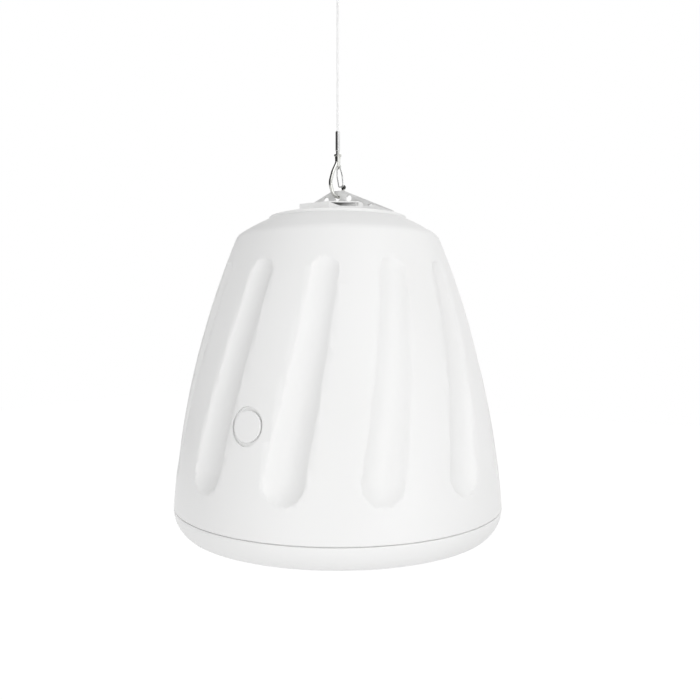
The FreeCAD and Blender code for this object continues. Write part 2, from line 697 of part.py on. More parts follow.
def make_shell():
    """Moulded bell: fluted wall, sloping shoulder, seat for the cap, and a flange at the open end."""
    seat_r = CAP_R + CAP_GAP
    outer = outline(
        (0, floor_z), (seat_r, floor_z), (seat_r, lip_z),
        (slope_mid[0], slope_mid[1], SHOULDER_R, shoulder_z),
        (side_r(waist_z), waist_z, RIM_R, seam_z), (0, seam_z))
    body = turned(outer)
    rounds = [e for e in body.Edges if abs(e.Length - 2 * math.pi * SHOULDER_R) < 0.05]
    body = body.makeFillet(shoulder_round, rounds)
    lips = [e for e in body.Edges if abs(e.Length - 2 * math.pi * seat_r) < 0.05
            and abs(e.BoundBox.ZMax - lip_z) < 0.05]
    body = body.makeFillet(LIP_ROUND, lips)
    seams = [e for e in body.Edges
             if abs(e.BoundBox.ZMax - seam_z) < 0.05 and e.Length > 2 * math.pi * RIM_R - 1]
    body = body.makeFillet(EDGE_ROUND, seams)
    groove_r = seat_r + WALL
    turn_r = SHOULDER_R - WALL
    mid_r = (groove_r + turn_r) / 2
    ceiling = floor_z - FLOOR_WALL
    low = seam_z + FLANGE_WALL
    inner_top = slope_z(turn_r, WALL)
    inner = outline(
        (0, ceiling), (groove_r, ceiling), (groove_r, slope_z(groove_r, WALL)),
        (mid_r, slope_z(mid_r, WALL), turn_r - 2, slope_z(turn_r - 2, WALL)),
        (side_r(inner_top - 6, WALL), inner_top - 6),
        (side_r(waist_z, WALL), waist_z, side_r(low, WALL), low), (flange_r, low), (flange_r, seam_z - 1),
        (0, seam_z - 1))
    cavity = turned(inner)
    cavity = cavity.cut(Part.makeCompound(around(flute_tool(WALL), FLUTES)))
    cavity = cavity.cut(plug_cylinder(BOSS_R, -2, RECESS_DEPTH + BOSS_WALL))
    for x, y in CAP_SCREWS:
        body = body.fuse(cylinder(CAP_BOSS_R, floor_z - 1, cap_screw_seat(x, y) - CAP_PAD, x, y))
    body = body.cut(Part.makeCompound(around(flute_tool(), FLUTES)))
    body = body.cut(cavity)
    spot, out = plug_frame()
    oval = Part.Ellipse(V(0, 0, 0), RECESS_HALF_HEIGHT, RECESS_HALF_WIDTH).toShape()
    recess = Part.Face(Part.Wire(oval)).extrude(V(0, 0, RECESS_DEPTH + 10))
    recess.rotate(V(0, 0, 0), V(0, 0, 1), 90)
    recess.Placement = FreeCAD.Placement(spot - out * RECESS_DEPTH, FreeCAD.Rotation(
        V(1, 0, 0), out.cross(V(1, 0, 0)) * -1, out, "ZXY")).multiply(recess.Placement)
    holes = [recess, plug_cylinder(PLUG_SPIGOT_R, -5, RECESS_DEPTH + BOSS_WALL + 1)]
    for x in (-FOOT_SCREW_X, FOOT_SCREW_X):
        holes.append(cylinder(BRACKET_SCREW_R + SCREW_GAP, floor_z - 10, floor_z + 5, x, FOOT_SCREW_Y))
    for x in (-strap_screw_x(), strap_screw_x()):
        holes.append(cylinder(BRACKET_SCREW_R, floor_z - FLOOR_WALL - 1, floor_z - STRAP_TIP_WALL, x, 0))
    holes += [cylinder(TAPPING_R, floor_z - 2, crown_z, x, y) for x, y in CAP_SCREWS]
    holes.append(grommet_hole(GROMMET_R))
    for x, y in [polar(bezel_screw_circle, a) for a in screw_angles(BEZEL_SCREWS)]:
        holes.append(cylinder(TAPPING_R, seam_z - 1, seam_z + FLANGE_WALL + 1, x, y))
    for x, y in [polar(baffle_screw_circle, a) for a in screw_angles(BAFFLE_SCREWS)]:
        holes.append(cylinder(TAPPING_R, seam_z - 1, seam_z + FLANGE_WALL + 1, x, y))
    parts["enclosure_shell"] = body.cut(Part.makeCompound(holes))


def screw_angles(count):
    return [30.0 + i * 360.0 / count for i in range(count)]


def make_plug():
    """Round plug that stands in the oval recess, held by a spigot."""
    face_depth = RECESS_DEPTH - PLUG_HEIGHT
    disc = plug_cylinder(PLUG_R, face_depth, RECESS_DEPTH)
    rims = [e for e in disc.Edges if abs(e.Length - 2 * math.pi * PLUG_R) < 0.01]
    spot, out = plug_frame()
    front = max(rims, key=lambda e: (e.CenterOfMass - spot).dot(out))
    disc = disc.makeFillet(1.2, [front])
    spigot = plug_cylinder(PLUG_SPIGOT_R, RECESS_DEPTH - 0.5, RECESS_DEPTH + BOSS_WALL + 2)
    parts["badge_plug"] = fuse([disc, spigot])


def grommet_hole(radius):
    return cylinder(radius, floor_z - FLOOR_WALL - 3, floor_z + 3, HEADER_AT[0], GROMMET_Y)


def make_connector():
    """Header on the crown's floor, the screw plug that goes down into it, and the grommet for its leads."""
    x, y = HEADER_AT
    w, d = HEADER
    top = floor_z + HEADER_HEIGHT
    e = HEADER_WALL
    header = box(x - w / 2, x + w / 2, y - d / 2, y + d / 2, floor_z, top)
    well = box(x - w / 2 + e, x + w / 2 - e, y - d / 2 + e, y + d / 2 - e, floor_z + 2 * e, top)
    parts["input_header"] = header.cut(well)
    f = GROMMET_FLANGE
    low = floor_z - FLOOR_WALL
    wide = GROMMET_R + f
    grommet = turned(outline(
        (LEAD_R, low - f), (wide, low - f), (wide, low), (GROMMET_R, low),
        (GROMMET_R, floor_z), (wide, floor_z), (wide, floor_z + f), (LEAD_R, floor_z + f)))
    parts["lead_grommet"] = shift(grommet, x, GROMMET_Y)
    plug = fuse([well, box(x - w / 2, x + w / 2, y - d / 2, y + d / 2, top, top + PLUG_IN_HEIGHT)])
    pitch = w / POLES
    screws = []
    for i in range(POLES):
        px = x - w / 2 + pitch * (i + 0.5)
        plug = plug.cut(box(px - 1.8, px + 1.8, y - d / 2 - 1, y - d / 2 + 8, top + 2, top + 5.6))
        plug = plug.cut(cylinder(2.0, top + 7, top + PLUG_IN_HEIGHT + 1, px, y + 2))
        screws.append(cylinder(2.0, top + 7, top + PLUG_IN_HEIGHT - 0.8, px, y + 2))
    parts["input_plug"] = plug
    parts["plug_screws"] = Part.makeCompound(screws)
    parts["cap_screws"] = Part.makeCompound(
        [screw(TAPPING_R, CAP_SCREW_LENGTH, CAP_SCREW_HEAD[0], CAP_SCREW_HEAD[1], px, py,
               cap_screw_seat(px, py), up=False) for px, py in CAP_SCREWS])


def make_bezel():
    """Bottom ring: a curved wall that turns in to a lip for the grille, with pillars for its screws."""
    r = BEZEL_ARC_R
    cx = RIM_R - r
    drop = math.sqrt(r ** 2 - (bezel_edge_r - cx) ** 2)
    end_z = bezel_top - drop
    half = math.radians(math.degrees(math.asin(drop / r)) / 2)
    mid = (cx + r * math.cos(half), bezel_top - r * math.sin(half))
    inner_r = r - BEZEL_WALL
    lip_top = bottom_z + BEZEL_WALL
    side = outline(
        (bezel_top_r, bezel_top), (RIM_R, bezel_top), (mid[0], mid[1], bezel_edge_r, end_z),
        (bezel_edge_r - 2.2, bottom_z), (bezel_lip_r, bottom_z), (bezel_lip_r, lip_top),
        (bezel_edge_r - BEZEL_WALL - 1.5, lip_top),
        (cx + inner_r * math.cos(half), bezel_top - BEZEL_WALL - inner_r * math.sin(half) + 2.0,
         RIM_R - BEZEL_WALL, bezel_top - BEZEL_WALL), (bezel_top_r, bezel_top - BEZEL_WALL))
    body = turned(side)
    tops = [e for e in body.Edges
            if abs(e.BoundBox.ZMax - bezel_top) < 0.05 and e.Length > 2 * math.pi * RIM_R - 1]
    body = body.makeFillet(EDGE_ROUND, tops)
    spots = [polar(bezel_screw_circle, a) for a in screw_angles(BEZEL_SCREWS)]
    pillars = [cylinder(PILLAR_R, bottom_z + 1, seam_z, x, y) for x, y in spots]
    body = fuse([body] + pillars)
    bores = []
    for x, y in spots:
        bores.append(cylinder(TAPPING_R + SCREW_GAP, bottom_z - 1, seam_z + 1, x, y))
        bores.append(cylinder(3.6, bottom_z - 1, bottom_z + 5, x, y))
    parts["bottom_bezel"] = body.cut(Part.makeCompound(bores))
    parts["bezel_screws"] = Part.makeCompound(
        [screw(TAPPING_R, BEZEL_HEIGHT, HEAD_R, HEAD_HEIGHT + 0.2, x, y, bottom_z + 5) for x, y in spots])
    parts["bezel_gasket"] = ring(RIM_R - 2.5, bezel_top_r, bezel_top, seam_z)


def make_grille():
    """Flat steel disc on the bezel's lip, punched in a triangular pattern."""
    disc = cylinder(grille_r, grille_top - GRILLE_THICKNESS, grille_top)
    holes = []
    rows = int(grille_r / GRILLE_PITCH) + 2
    step_y = GRILLE_PITCH * math.sqrt(0.75)
    for j in range(-rows, rows + 1):
        for i in range(-rows, rows + 1):
            x = (i + (j % 2) / 2) * GRILLE_PITCH
            y = j * step_y
            if math.hypot(x, y) < bezel_lip_r - GRILLE_HOLE_R - 3:
                holes.append(hexagon(GRILLE_HOLE_R, grille_top - GRILLE_THICKNESS - 1, grille_top + 1, x, y))
    parts["grille"] = disc.cut(Part.makeCompound(holes))


def make_baffle():
    """Stiff disc that carries the drive unit, ports, network and switch, on a gasket under the flange."""
    plate = cylinder(baffle_r, baffle_z, baffle_top)
    holes = [cylinder(unit_opening_r, baffle_z - 1, baffle_top + 1)]
    for a in port_angles():
        x, y = polar(ring_circle, a)
        holes.append(cylinder(port_r + PORT_WALL, baffle_z - 1, baffle_top + 1, x, y))
    x, y = polar(ring_circle, SWITCH_ANGLE)
    holes.append(cylinder(SWITCH_SHAFT_R + 1.0, baffle_z - 1, baffle_top + 1, x, y))
    spots = [polar(baffle_screw_circle, a) for a in screw_angles(BAFFLE_SCREWS)]
    for px, py in spots:
        holes.append(cylinder(TAPPING_R + SCREW_GAP, baffle_z - 1, baffle_top + 1, px, py))
    for px, py in [polar(unit_screw_circle, a) for a in screw_angles(UNIT_SCREWS)]:
        holes.append(cylinder(TAPPING_R, baffle_z - 1, baffle_top + 1, px, py))
    parts["baffle"] = plate.cut(Part.makeCompound(holes))
    gasket = ring(baffle_r, flange_r, baffle_top, seam_z)
    for px, py in spots:
        gasket = gasket.cut(cylinder(TAPPING_R + SCREW_GAP, baffle_top - 1, seam_z + 1, px, py))
    parts["baffle_gasket"] = gasket
    reach = BAFFLE_THICKNESS + GASKET + FLANGE_WALL - 1
    parts["baffle_screws"] = Part.makeCompound(
        [screw(TAPPING_R, reach, HEAD_R, HEAD_HEIGHT, px, py, baffle_z) for px, py in spots])


def port_angles():
    return [90.0, 180.0, 270.0][:PORTS]


def make_ports():
    """Tubes with a flared mouth, let into the baffle from below."""
    mouth = port_r + PORT_WALL
    top = baffle_z + PORT_LENGTH
    flare = mouth + PORT_FLARE
    tube = turned(outline((port_r, baffle_z), (flare, baffle_z - 2), (flare, baffle_z), (mouth, baffle_z),
                          (mouth, top), (port_r, top)))
    tubes = []
    for a in port_angles():
        x, y = polar(ring_circle, a)
        tubes.append(shift(tube, x, y))
    parts["port_tubes"] = Part.makeCompound(tubes)


def make_basket():
    """Cast basket: flange, four broad spokes and a seat for the magnet."""
    w = BASKET_WALL
    top = plate_z
    neck_r = BASKET_TOP_R + 6
    bore_r = COIL_R + 6
    face_z = unit_z - UNIT_FLANGE
    side = outline((unit_opening_r - 3, face_z), (unit_r, face_z), (unit_r, unit_z),
                   (unit_opening_r - 1, unit_z), (unit_opening_r - 3, unit_z + BASKET_STEP),
                   (neck_r, top - 10), (neck_r, top), (bore_r, top), (bore_r, top - w), (neck_r - 3, top - w),
                   (neck_r - 3, top - 12), (unit_opening_r - 6, unit_z + BASKET_STEP - w),
                   (unit_opening_r - 4, unit_z))
    body = turned(side)
    half = BASKET_WINDOW_HALF
    window = box(BASKET_WINDOW_FROM, unit_r, -half, half, unit_z + BASKET_WINDOW_RISE, top - 14)
    body = body.cut(Part.makeCompound(around(window, BASKET_WINDOWS, 45)))
    holes = [cylinder(TAPPING_R + SCREW_GAP, unit_z - 9, unit_z + 1, x, y)
             for x, y in [polar(unit_screw_circle, a) for a in screw_angles(UNIT_SCREWS)]]
    parts["woofer_basket"] = body.cut(Part.makeCompound(holes))
    gasket = ring(unit_r, unit_opening_r, unit_z, baffle_z)
    parts["woofer_gasket"] = gasket.cut(Part.makeCompound(holes + [shift(h, z=3) for h in holes]))
    parts["woofer_screws"] = Part.makeCompound(
        [screw(TAPPING_R, UNIT_SCREW_LENGTH, HEAD_R, HEAD_HEIGHT, x, y, unit_z - UNIT_FLANGE)
         for x, y in [polar(unit_screw_circle, a) for a in screw_angles(UNIT_SCREWS)]])


def make_cone():
    """Half-roll surround, paper cone, corrugated spider, coil former and its winding."""
    roll = SURROUND_ROLL
    land = SURROUND_LAND
    edge = unit_opening_r + land
    face_z = unit_z - UNIT_FLANGE
    t = SURROUND_WALL
    mid = cone_r + roll + 0.5
    far = mid + roll
    parts["woofer_surround"] = turned(outline(
        (cone_r - land, face_z), (mid - roll, face_z), (mid, face_z - roll, far, face_z), (edge, face_z),
        (edge, face_z - t), (far + t, face_z - t), (mid, face_z - roll - t, mid - roll - t, face_z - t),
        (cone_r - land, face_z - t)))
    top = face_z + CONE_DEPTH
    w = CONE_WALL
    curve_r = COIL_R + CONE_CURVE * (cone_r - COIL_R)
    curve_z = face_z + CONE_DEPTH / 3
    parts["woofer_cone"] = turned(outline(
        (cone_r - land, face_z), (cone_r, face_z), (cone_r, face_z + w),
        (curve_r, curve_z + w, COIL_R + w, top), (COIL_R, top), (COIL_R, top - w),
        (curve_r - w / 2, curve_z - w / 2, cone_r - land, face_z)))
    spider_z = plate_z - SPIDER_DROP
    folds = [(COIL_R + COIL_WALL, spider_z)]
    pitch = (SPIDER_R - COIL_R) / SPIDER_FOLDS
    for i in range(1, SPIDER_FOLDS):
        side = SPIDER_WAVE if i % 2 else -SPIDER_WAVE
        folds.append((COIL_R + i * pitch, spider_z + side))
    folds += [(SPIDER_R, spider_z), (BASKET_TOP_R + 3, spider_z)]
    upper = [(x, z + SPIDER_WALL) for x, z in reversed(folds)]
    parts["spider"] = turned(outline(*folds, *upper))
    parts["coil_former"] = ring(COIL_R + COIL_WALL, COIL_R, top, plate_z + PLATE_THICKNESS + 3)
    gap_z = plate_z + PLATE_THICKNESS / 2
    parts["voice_coil"] = ring(COIL_R + COIL_WALL + COIL_WINDING, COIL_R + COIL_WALL,
                               gap_z - WINDING_LENGTH / 2, gap_z + WINDING_LENGTH / 2)


def make_motor():
    """Front plate, ring magnet, and the pole piece whose bore feeds the horn."""
    gap_r = COIL_R + COIL_WALL + COIL_WINDING + COIL_GAP
    pole_r = COIL_R - COIL_GAP
    parts["front_plate"] = ring(PLATE_R, gap_r, plate_z, magnet_z)
    parts["magnet_ring"] = ring(MAGNET_R, MAGNET_BORE_R, magnet_z, back_z)
    pole = turned(outline((THROAT_R, plate_z), (pole_r, plate_z), (pole_r, back_z), (PLATE_R, back_z),
                          (PLATE_R, tweeter_z), (THROAT_R, tweeter_z)))
    parts["pole_piece"] = pole
    w = HORN_WALL
    mouth_z = plate_z - HORN_LENGTH
    parts["tweeter_horn"] = turned(outline(
        (THROAT_R, plate_z), (THROAT_R + 2, plate_z - 12, HORN_R, mouth_z), (HORN_R + w, mouth_z),
        (THROAT_R + 2 + w, plate_z - 12, THROAT_R + w, plate_z)))
    body = cylinder(TWEETER_R, tweeter_z, tweeter_z + TWEETER_HEIGHT)
    body = body.cut(cylinder(THROAT_R, tweeter_z - 1, tweeter_z + 8))
    tops = [e for e in body.Edges
            if abs(e.Length - 2 * math.pi * TWEETER_R) < 0.01 and e.CenterOfMass.z > tweeter_z + 1]
    parts["compression_driver"] = body.makeFillet(4, tops)


def make_network():
    w, d, t = BOARD
    y = board_y
    corners = [(sx * (w / 2 - 6), y + sy * (d / 2 - 6)) for sx in (-1, 1) for sy in (-1, 1)]
    board = box(-w / 2, w / 2, y - d / 2, y + d / 2, board_z, board_z + t)
    holes = [cylinder(TAPPING_R, board_z - 1, board_z + t + 1, x, cy) for x, cy in corners]
    parts["crossover_board"] = board.cut(Part.makeCompound(holes))
    spacers = [cylinder(SPACER_R, baffle_top, board_z, x, cy) for x, cy in corners]
    parts["board_spacers"] = Part.makeCompound(spacers)
    top = board_z + t
    caps = []
    for x, r in CAPACITORS:
        can = Part.makeCylinder(r, CAPACITOR_LENGTH, V(x, y - CAPACITOR_LENGTH / 2, top + r), V(0, 1, 0))
        caps.append(can)
    parts["capacitors"] = Part.makeCompound(caps)
    coils = []
    for x, r in INDUCTORS:
        coils.append(ring(r, INDUCTOR_BORE_R, top, top + INDUCTOR_HEIGHT, x, y))
    parts["inductors"] = Part.makeCompound(coils)
    rw, rd, rh = RESISTOR
    x = RESISTOR_X
    parts["resistors"] = Part.makeCompound(
        [box(x, x + rw, y + start, y + start + rd, top, top + rh) for start in RESISTOR_STARTS])


def make_transformer():
    """Laminated core with its winding, held under the backing plate by a strap with ears."""
    w, d, h = TRANSFORMER
    top = floor_z - FLOOR_WALL - BACKING[2]
    limb = CORE_LIMB
    core = box(-w / 2, w / 2, -d / 2, d / 2, top - h, top)
    window = w / 2 - 2 * limb
    for side in (-1, 1):
        x0 = min(side * limb, side * (limb + window))
        core = core.cut(box(x0, x0 + window, -d, d, top - h + limb, top - limb))
    parts["transformer_core"] = core
    coil = box(-limb - window + 0.5, limb + window - 0.5, -d / 2 - WINDING_BULGE, d / 2 + WINDING_BULGE,
               top - h + limb + 0.5, top - limb - 0.5)
    rounds = [e for e in coil.Edges if abs(e.Vertexes[0].Z - e.Vertexes[-1].Z) > h / 3]
    coil = coil.makeFillet(6, rounds)
    parts["transformer_winding"] = coil.cut(box(-limb, limb, -d / 2, d / 2, top - h, top))
    s = STRAP_WALL
    strap = box(-w / 2 - s, w / 2 + s, -d / 2 + 6, d / 2 - 6, top - h - s, top)
    strap = strap.cut(box(-w / 2, w / 2, -d, d, top - h, top + 1))
    ear_x = w / 2 + s + STRAP_EAR
    ears = box(-ear_x, ear_x, -d / 2 + 6, d / 2 - 6, top - s, top)
    ears = ears.cut(box(-w / 2, w / 2, -d, d, top - 2 * s, top + 1))
    strap = fuse([strap, ears])
    spots = [(-strap_screw_x(), 0), (strap_screw_x(), 0)]
    for x, y in spots:
        strap = strap.cut(cylinder(BRACKET_SCREW_R, top - 2 * s, top + 1, x, y))
    parts["transformer_strap"] = strap
    parts["strap_screws"] = Part.makeCompound(
        [screw(BRACKET_SCREW_R, s + BACKING[2] + FLOOR_WALL - STRAP_TIP_WALL, 4.2, 2.6, x, y, top - s)
         for x, y in spots])


def make_switch():
    """Rotary tap switch above the baffle, its shaft through it, and the knob behind the grille."""
    x, y = polar(ring_circle, SWITCH_ANGLE)
    body = cylinder(SWITCH_R, baffle_top, baffle_top + SWITCH_BODY, x, y)
    bore = cylinder(SWITCH_SHAFT_R + SHAFT_CLEARANCE, baffle_top - 1, baffle_top + SHAFT_SEAT, x, y)
    parts["tap_switch"] = body.cut(bore)
    shaft = cylinder(SWITCH_SHAFT_R, baffle_z - 1, baffle_top + SHAFT_SEAT - KNOB_CLEARANCE, x, y)
    top = baffle_z - KNOB_CLEARANCE
    cap = cylinder(KNOB_R, top - KNOB_HEIGHT, top, x, y)
    bar = box(x - 1.2, x + 1.2, y - KNOB_R, y + KNOB_R, top - KNOB_HEIGHT - 2.0, top - KNOB_HEIGHT)
    cap = fuse([cap, bar, shaft])
    parts["tap_knob"] = cap


def make_leads():
    """Lead bundles, each along the route that it is clipped to."""
    x, y = HEADER_AT
    core_top = floor_z - FLOOR_WALL - BACKING[2]
    winding_y = -TRANSFORMER[1] / 2 - WINDING_BULGE
    winding_z = core_top - TRANSFORMER[2] / 2
    lead_z = floor_z + LEAD_RISE
    parts["input_leads"] = rod(
        [(x, y - HEADER[1] / 2, lead_z), (x, GROMMET_Y, lead_z), (x, GROMMET_Y, winding_z),
         (x, winding_y, winding_z)], [5, 9], LEAD_R)
    board_top = board_z + BOARD[2]
    pad_y = board_y + LEAD_PAD
    turn_y, turn_rise = FEED_DROP
    parts["feed_leads"] = rod(
        [(FEED_FROM, winding_y, winding_z), (FEED_FROM, turn_y, winding_z),
         (FEED_X, pad_y, board_top + turn_rise), (FEED_X, pad_y, board_top)], FEED_BENDS, LEAD_R)
    terminal_z = unit_z + TERMINAL_RISE
    parts["unit_leads"] = rod([(UNIT_LEAD_X, pad_y, board_top), (UNIT_LEAD_X, pad_y, terminal_z),
                               (UNIT_LEAD_X, -TERMINAL_FRONT, terminal_z)], [LEAD_BEND], LEAD_R)
    sx, sy = polar(ring_circle, SWITCH_ANGLE)
    switch_top = baffle_top + SWITCH_BODY
    loop_z = switch_top + LEAD_LOOP
    lead_y = pad_y + SWITCH_LEAD_SIDE
    parts["switch_leads"] = rod(
        [(SWITCH_LEAD_X, lead_y, board_top), (SWITCH_LEAD_X, lead_y, loop_z),
         (sx, sy, loop_z), (sx, sy, switch_top)], [LEAD_BEND, LEAD_BEND], LEAD_R)
    w, d, h = TERMINALS
    basket_side = turned(outline(
        (0, unit_z + BASKET_STEP), (unit_opening_r - 3, unit_z + BASKET_STEP),
        (BASKET_TOP_R + 6, plate_z - 10), (0, plate_z - 10)))
    low = terminal_z - 2 * LEAD_R
    block = box(-w / 2, w / 2, -TERMINAL_FRONT, d - TERMINAL_FRONT, low, low + h)
    parts["unit_terminals"] = block.cut(basket_side)


def main():
    make_eye()
    make_rope()
    make_hook()
    make_gate()
    make_bracket()
    make_bracket_fixings()
    make_cap()
    make_shell()
    make_plug()
    make_connector()
    make_bezel()
    make_grille()
    make_baffle()
    make_ports()
    make_basket()
    make_cone()
    make_motor()
    make_network()
    make_transformer()
    make_switch()
    make_leads()
    os.makedirs("parts", exist_ok=True)
    for name, shape in parts.items():
        shape.exportStep("parts/" + name + ".step")
        solids = len(shape.Solids)
        print(name, solids, shape.isValid(), round(shape.Volume), [round(v, 1) for v in (
            shape.BoundBox.XLength, shape.BoundBox.YLength, shape.BoundBox.ZLength)])


main()
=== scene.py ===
"""Finishes and studio view of a pendant speaker that hangs by a snap hook.

Metres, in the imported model's own frame: +Z is up and the round plug faces -Y.
"""
import json
import math

import bmesh
import bpy
from mathutils import Matrix, Vector

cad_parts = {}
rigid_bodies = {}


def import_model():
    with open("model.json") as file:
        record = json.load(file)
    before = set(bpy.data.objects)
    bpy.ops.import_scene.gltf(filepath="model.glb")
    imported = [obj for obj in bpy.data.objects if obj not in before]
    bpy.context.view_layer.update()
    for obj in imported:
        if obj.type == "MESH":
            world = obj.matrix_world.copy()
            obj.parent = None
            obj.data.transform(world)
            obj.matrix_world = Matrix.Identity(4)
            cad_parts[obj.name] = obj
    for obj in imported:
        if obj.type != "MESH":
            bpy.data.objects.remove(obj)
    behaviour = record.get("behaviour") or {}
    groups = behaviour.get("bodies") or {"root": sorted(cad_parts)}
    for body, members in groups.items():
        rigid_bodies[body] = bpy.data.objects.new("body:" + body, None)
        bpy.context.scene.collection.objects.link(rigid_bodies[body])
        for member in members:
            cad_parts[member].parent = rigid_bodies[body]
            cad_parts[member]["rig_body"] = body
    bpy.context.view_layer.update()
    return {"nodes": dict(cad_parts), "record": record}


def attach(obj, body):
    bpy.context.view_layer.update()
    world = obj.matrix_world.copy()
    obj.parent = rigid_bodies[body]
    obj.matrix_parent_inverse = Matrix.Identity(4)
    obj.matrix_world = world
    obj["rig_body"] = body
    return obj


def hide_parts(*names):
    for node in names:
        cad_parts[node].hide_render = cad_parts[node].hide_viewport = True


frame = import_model()
nodes = frame["nodes"]

TURN = 2 * math.pi

# Photograph's viewpoint
CAMERA_AZIMUTH = math.radians(30.1)
CAMERA_DISTANCE = 0.880
CAMERA_HEIGHT = -0.4395
CAMERA_PITCH = 0.0315
CAMERA_LENS = 36.4
CAMERA_SHIFT = 0.0175

# Rope, from the eye's shank down to the pressed sleeve
ROPE_POINTS = ((0.0, 0.0, -0.198), (0.0, 0.0, -0.1155), (0.0, 0.0, -0.033))
ROPE_DIAMETER = 0.003
ROPE_STRANDS = 6
STRAND_LAY = 0.021
STRAND_GROOVE = 0.20
POINTS_PER_STRAND = 5
STEPS_PER_TURN = 22

# Ball on the hook's nose, with a painted dark reflection in its colour
NOSE_CENTRE = (0.00317, 0.00885, -0.2651)
NOSE_DARK_TO = 0.0033
NOSE_BRIGHT_FROM = 0.0041
NOSE_REFLECTION_TONE = 0.08

# Round-overs that tools leave on edges
PLUG_ROUND = 0.0011
CUT_EDGE_ROUND = 0.00035

# Perforated grille
GRILLE_RADIUS = 0.173
GRILLE_FIELD = 0.1655
GRILLE_RIM_INNER = 0.164
GRILLE_TOP = -0.67505
GRILLE_SHEET = 0.0012
HOLE_PITCH = 0.005
HOLE_WEB = 0.0008
RIM_PROUD = 0.00001

# Floor, far below, and the share of it that shows as plain white
FLOOR_HEIGHT = -2.3
FLOOR_HALF = 14.0
FLOOR_TONE = 0.90
FLOOR_ROUGHNESS = 0.9
FLOOR_WHITE = 0.985
FLOOR_GLOW = 1.03

# Room light. Metal mirrors a room that is dimmer in front and has a dark flag at the left.
ROOM_LIGHT = 0.575
FRONT_MIRRORED = 0.62
FRONT_FADE = (-0.3, 0.8)
FLAG_MIRRORED = 0.03
FLAG_FADE = (0.16, 0.40)
FLAG_AZIMUTH = math.radians(-92.0)

# Soft boxes: name, degrees to the camera's right, height and power
SOFT_BOXES = (
    ("left_box", -25, -0.5, 13.3),
    ("right_box", 38, -0.5, 8.0),
    ("high_right_box", 40, 1.2, 10.0),
    ("side_box", 90, -0.3, 2.0),
    ("high_back_box", 105, 1.2, 5.0),
    ("back_left_box", -138, 0.1, 17.0),
)
BOX_DISTANCE = 2.2
BOX_WIDTH = 1.2
BOX_AIM = -0.5

# Where a tone mask leaves its dark end and reaches its light end
TONE_FROM = 0.3
TONE_TO = 0.7


# Shapes

def keep(bm, name, body, slot, *replaced):
    """Finish a bmesh as a piece that rides on a body and stands for CAD nodes."""
    mesh = bpy.data.meshes.new(name)
    bm.to_mesh(mesh)
    bm.free()
    piece = bpy.data.objects.new(name, mesh)
    bpy.context.scene.collection.objects.link(piece)
    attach(piece, body)
    if replaced:
        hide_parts(*replaced)
    return piece


def shade(bm, angle=30.0):
    """Smooth shading, with the edges sharper than the angle kept crisp."""
    limit = math.radians(angle)
    for face in bm.faces:
        face.smooth = True
    for edge in bm.edges:
        edge.smooth = len(edge.link_faces) == 2 and edge.calc_face_angle() < limit


def joined(node):
    """A CAD node's own triangles, merged so that they can be shaded as one skin."""
    bm = bmesh.new()
    bm.from_mesh(nodes[node].data)
    bmesh.ops.remove_doubles(bm, verts=bm.verts, dist=2e-7)
    return bm


def round_over(bm, size, segments, clamp_overlap=False):
    """Clean the flat faces, and soften the edges round them as a moulding or stamping tool does."""
    bmesh.ops.dissolve_limit(bm, angle_limit=math.radians(0.5), verts=bm.verts, edges=bm.edges)
    cut = [e for e in bm.edges if len(e.link_faces) == 2 and e.calc_face_angle() > math.radians(50)]
    bmesh.ops.bevel(bm, geom=cut, offset=size, offset_type="OFFSET", segments=segments, profile=0.5,
                    affect="EDGES", material=-1, clamp_overlap=clamp_overlap)


def profile(bm, points):
    """A chain of edges through (radius, height) points."""
    verts = [bm.verts.new((x, 0, z)) for x, z in points]
    return verts + [bm.edges.new(pair) for pair in zip(verts, verts[1:])]


def lathe(points, steps=96):
    """A closed turned shape about Z from its (radius, height) outline."""
    bm = bmesh.new()
    chain = profile(bm, points + points[:1])
    bmesh.ops.spin(bm, geom=chain, cent=(0, 0, 0), axis=(0, 0, 1), angle=TURN, steps=steps, use_merge=True)
    bmesh.ops.remove_doubles(bm, verts=bm.verts, dist=1e-6)
    bmesh.ops.recalc_face_normals(bm, faces=bm.faces)
    return bm


def move(bm, x=0.0, y=0.0, z=0.0):
    bmesh.ops.translate(bm, vec=(x, y, z), verts=bm.verts)


# Finishes

def group(name, inputs, outputs):
    """An empty node group with its sockets, and the nodes that stand for them."""
    tree = bpy.data.node_groups.new(name, "ShaderNodeTree")
    for label, value in inputs:
        socket = tree.interface.new_socket(label, in_out="INPUT", socket_type="NodeSocketFloat")
        socket.default_value = value
    for label, kind in outputs:
        tree.interface.new_socket(label, in_out="OUTPUT", socket_type=kind)
    return tree, tree.nodes.new("NodeGroupInput"), tree.nodes.new("NodeGroupOutput")


def node(tree, kind, **settings):
    made = tree.nodes.new(kind)
    for key, value in settings.items():
        setattr(made, key, value)
    return made


